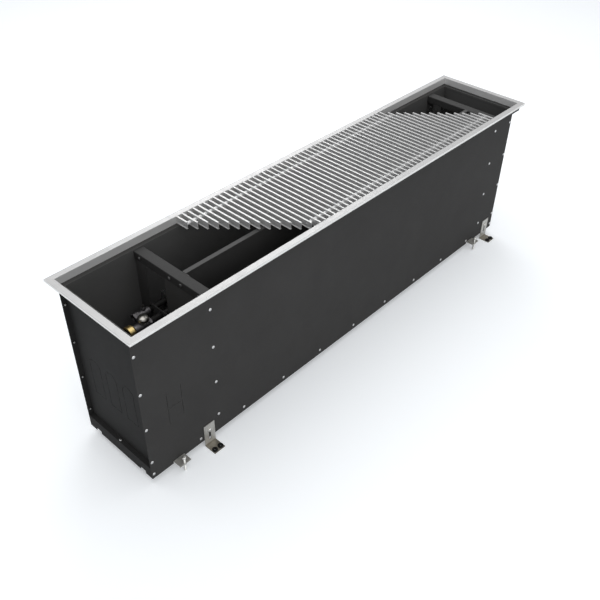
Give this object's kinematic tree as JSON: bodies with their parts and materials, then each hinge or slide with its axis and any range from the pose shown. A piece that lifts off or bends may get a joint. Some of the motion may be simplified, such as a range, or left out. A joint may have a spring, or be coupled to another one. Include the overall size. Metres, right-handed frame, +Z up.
{
  "type": "trench convector heater",
  "caption": "Deep floor trench convector: sheet casing with flush frame, cross-bar grille, finned water coil, divider, valves and adjustable floor brackets",
  "frame": {"origin": "on the slab under the middle of the casing", "axes": "+X along the trench to the right, +Y to the back, +Z up"},
  "size_m": [1.5, 0.32, 0.48],
  "materials": {
    "casing_coat": "satin graphite-black powder coat on galvanised sheet",
    "inner_coat": "satin graphite powder coat on folded sheet",
    "frame_anodised": "natural anodised aluminium extrusion",
    "key_alloy": "mill-finish aluminium",
    "rivet_alloy": "bright aluminium blind rivets",
    "fin_alloy": "thin rolled aluminium sheet",
    "plate_steel": "galvanised steel sheet",
    "coil_tube": "drawn copper tube, slightly dulled",
    "valve_dark": "dark nickel-plated valve body",
    "valve_bright": "bright nickel plate",
    "union_brass": "machined brass",
    "bracket_plate": "zinc-nickel plated steel, warm tone",
    "screw_zinc": "bright zinc-plated steel",
    "grommet_rubber": "matte black rubber",
    "grille_anodised": "anodised aluminium bars",
    "rod_steel": "drawn steel rod",
    "sleeve_plastic": "grey moulded spacer"
  },
  "bodies": {
    "casing": {"side_panel_front": "casing_coat", "side_panel_back": "casing_coat", "end_pan_left": "casing_coat", "end_pan_right": "casing_coat", "bottom_pan": "casing_coat", "end_ledge_left": "casing_coat", "end_ledge_right": "casing_coat", "frame_rail_front": "frame_anodised", "frame_rail_back": "frame_anodised", "frame_rail_left": "frame_anodised", "frame_rail_right": "frame_anodised", "frame_corner_keys": "key_alloy", "brace_left": "inner_coat", "brace_right": "inner_coat", "partition_left": "inner_coat", "partition_right": "inner_coat", "divider_screen": "inner_coat", "casing_rivets": "rivet_alloy", "brace_rivets": "rivet_alloy", "fins": "fin_alloy", "coil_plate_left": "plate_steel", "coil_plate_right": "plate_steel", "tubes": "coil_tube", "return_bends": "coil_tube", "supply_valve_body": "valve_dark", "return_valve_body": "valve_dark", "foot_tabs": "bracket_plate", "foot_nuts": "screw_zinc", "clamp_screws": "screw_zinc", "clamp_nuts": "screw_zinc"},
    "grille": {"grille_bars": "grille_anodised", "grille_rods": "rod_steel", "grille_sleeves": "sleeve_plastic"},
    "supply_cap": {"supply_valve_cap": "valve_bright"},
    "supply_nut": {"supply_union_nut": "union_brass"},
    "return_nut": {"return_union_nut": "valve_dark"},
    "vent_screw": {"air_vent_screw": "valve_bright"},
    "levelling_front_left": {"levelling_screw_front_left": "screw_zinc"},
    "bracket_front_left": {"floor_bracket_front_left": "bracket_plate", "grommets_front_left": "grommet_rubber"},
    "levelling_front_right": {"levelling_screw_front_right": "screw_zinc"},
    "bracket_front_right": {"floor_bracket_front_right": "bracket_plate", "grommets_front_right": "grommet_rubber"},
    "levelling_back_left": {"levelling_screw_back_left": "screw_zinc"},
    "bracket_back_left": {"floor_bracket_back_left": "bracket_plate", "grommets_back_left": "grommet_rubber"},
    "levelling_back_right": {"levelling_screw_back_right": "screw_zinc"},
    "bracket_back_right": {"floor_bracket_back_right": "bracket_plate", "grommets_back_right": "grommet_rubber"}
  },
  "joints": [
    {"name": "grille_lift", "type": "slide", "parent": "casing", "child": "grille", "axis": [0, 0, 1], "range_m": [0, 0.15]},
    {"name": "supply_cap_turn", "type": "hinge", "parent": "casing", "child": "supply_cap", "pos_m": [-0.5855, 0.048, 0.319], "axis": [0, 0, 1], "range_deg": [-540, 0]},
    {"name": "supply_nut_turn", "type": "hinge", "parent": "casing", "child": "supply_nut", "pos_m": [-0.624, 0.048, 0.305], "axis": [-1, 0, 0], "continuous": true},
    {"name": "return_nut_turn", "type": "hinge", "parent": "casing", "child": "return_nut", "pos_m": [-0.58, 0.084, 0.305], "axis": [-1, 0, 0], "continuous": true},
    {"name": "vent_screw_turn", "type": "hinge", "parent": "casing", "child": "vent_screw", "pos_m": [-0.5575, 0.084, 0.322], "axis": [0, 0, 1], "range_deg": [0, 360]},
    {"name": "levelling_turn_front_left", "type": "hinge", "parent": "casing", "child": "levelling_front_left", "pos_m": [-0.655, -0.143, 0.02], "axis": [0, 0, 1], "continuous": true},
    {"name": "bracket_slide_front_left", "type": "slide", "parent": "casing", "child": "bracket_front_left", "axis": [0, 0, 1], "range_m": [0, 0.03]},
    {"name": "levelling_turn_front_right", "type": "hinge", "parent": "casing", "child": "levelling_front_right", "pos_m": [0.606, -0.143, 0.02], "axis": [0, 0, 1], "continuous": true},
    {"name": "bracket_slide_front_right", "type": "slide", "parent": "casing", "child": "bracket_front_right", "axis": [0, 0, 1], "range_m": [0, 0.03]},
    {"name": "levelling_turn_back_left", "type": "hinge", "parent": "casing", "child": "levelling_back_left", "pos_m": [-0.655, 0.143, 0.02], "axis": [0, 0, 1], "continuous": true},
    {"name": "bracket_slide_back_left", "type": "slide", "parent": "casing", "child": "bracket_back_left", "axis": [0, 0, 1], "range_m": [0, 0.03]},
    {"name": "levelling_turn_back_right", "type": "hinge", "parent": "casing", "child": "levelling_back_right", "pos_m": [0.606, 0.143, 0.02], "axis": [0, 0, 1], "continuous": true},
    {"name": "bracket_slide_back_right", "type": "slide", "parent": "casing", "child": "bracket_back_right", "axis": [0, 0, 1], "range_m": [0, 0.03]}
  ]
}
